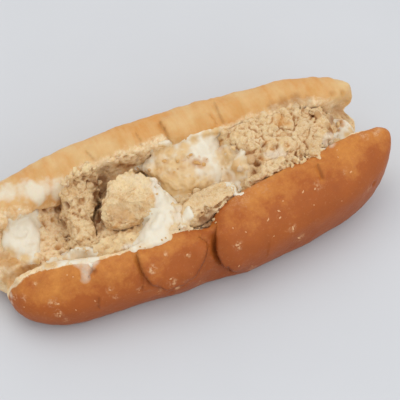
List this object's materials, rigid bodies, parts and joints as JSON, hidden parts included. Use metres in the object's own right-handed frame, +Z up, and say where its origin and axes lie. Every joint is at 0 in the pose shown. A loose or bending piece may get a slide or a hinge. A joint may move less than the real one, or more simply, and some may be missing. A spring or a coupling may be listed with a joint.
{
  "type": "halva sandwich",
  "caption": "Long soft bread roll cut open along its side, spread apart and filled with broken halva and thick cream; it lies on its uncut side with the opening up.",
  "frame": {"origin": "centre of the bounding box in plan, on the surface that the roll rests on", "axes": "+X along the roll towards its blunt end, +Y from the brown half to the pale half, +Z up out of the opening"},
  "size_m": [0.203, 0.0868, 0.0472],
  "materials": {
    "crust": "soft browned bread crust, golden at the cut edges, with a low shine",
    "halva": "dry crumbly sesame halva",
    "cream": "thick moist cream"
  },
  "bodies": {
    "root": {"bread": "crust", "halva_chunk": "halva", "halva_slab": "halva", "halva_crumble": "halva", "halva_column": "halva", "halva_bed": "halva", "cream_middle": "cream", "cream_far": "cream", "cream_end": "cream", "cream_left": "cream"}
  },
  "joints": []
}
